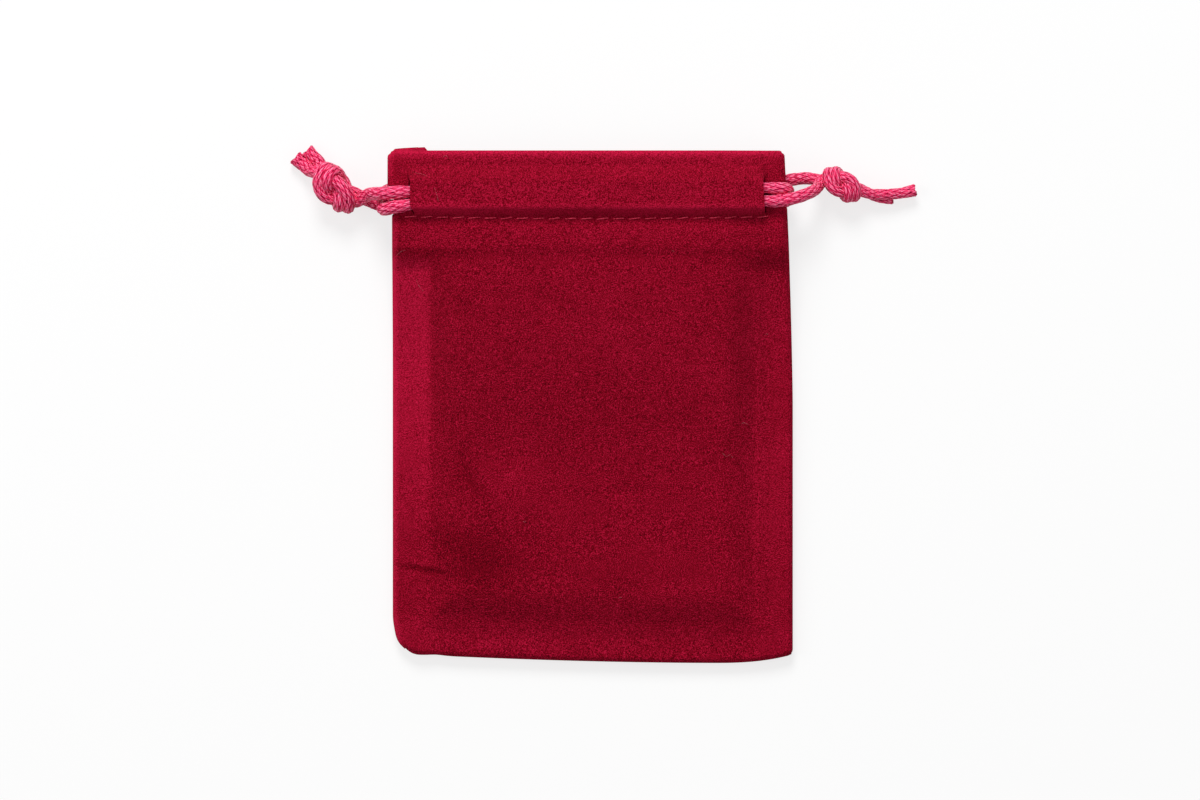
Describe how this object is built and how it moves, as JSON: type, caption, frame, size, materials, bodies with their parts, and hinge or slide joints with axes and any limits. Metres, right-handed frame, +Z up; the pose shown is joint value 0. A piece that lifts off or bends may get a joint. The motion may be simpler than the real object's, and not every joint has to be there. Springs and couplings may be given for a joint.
{
  "type": "drawstring pouch",
  "caption": "Flat velvet gift pouch with a hemmed casing, slits at both sides and double knotted drawcords, lying on its back panel",
  "frame": {"origin": "middle of the pouch's base where the back panel lies on the surface, with the drawcords left out", "axes": "+Z up from the surface, +Y along the pouch towards its mouth, +X across it towards the right-hand knot"},
  "size_m": [0.1092, 0.0908, 0.0115],
  "materials": {
    "velvet": "short-pile crimson velvet, dark from above and brighter where the pile leans towards the light",
    "sewing_thread": "matt polyester sewing thread",
    "satin_cord": "braided satin cord, silky pink-crimson"
  },
  "bodies": {
    "pouch": {"front_panel": "velvet", "back_panel": "velvet", "front_casing_stitching": "sewing_thread", "back_casing_stitching": "sewing_thread", "side_and_bottom_seam_thread": "sewing_thread"},
    "left_cord": {"left_drawcord": "satin_cord", "left_drawcord_knot": "satin_cord"},
    "right_cord": {"right_drawcord": "satin_cord", "right_drawcord_knot": "satin_cord"}
  },
  "joints": [
    {"name": "left_cord_slide", "type": "slide", "parent": "pouch", "child": "left_cord", "axis": [1, 0, 0], "range_m": [0, 0.00075]},
    {"name": "right_cord_slide", "type": "slide", "parent": "pouch", "child": "right_cord", "axis": [-1, 0, 0], "range_m": [0, 0.00075]}
  ]
}
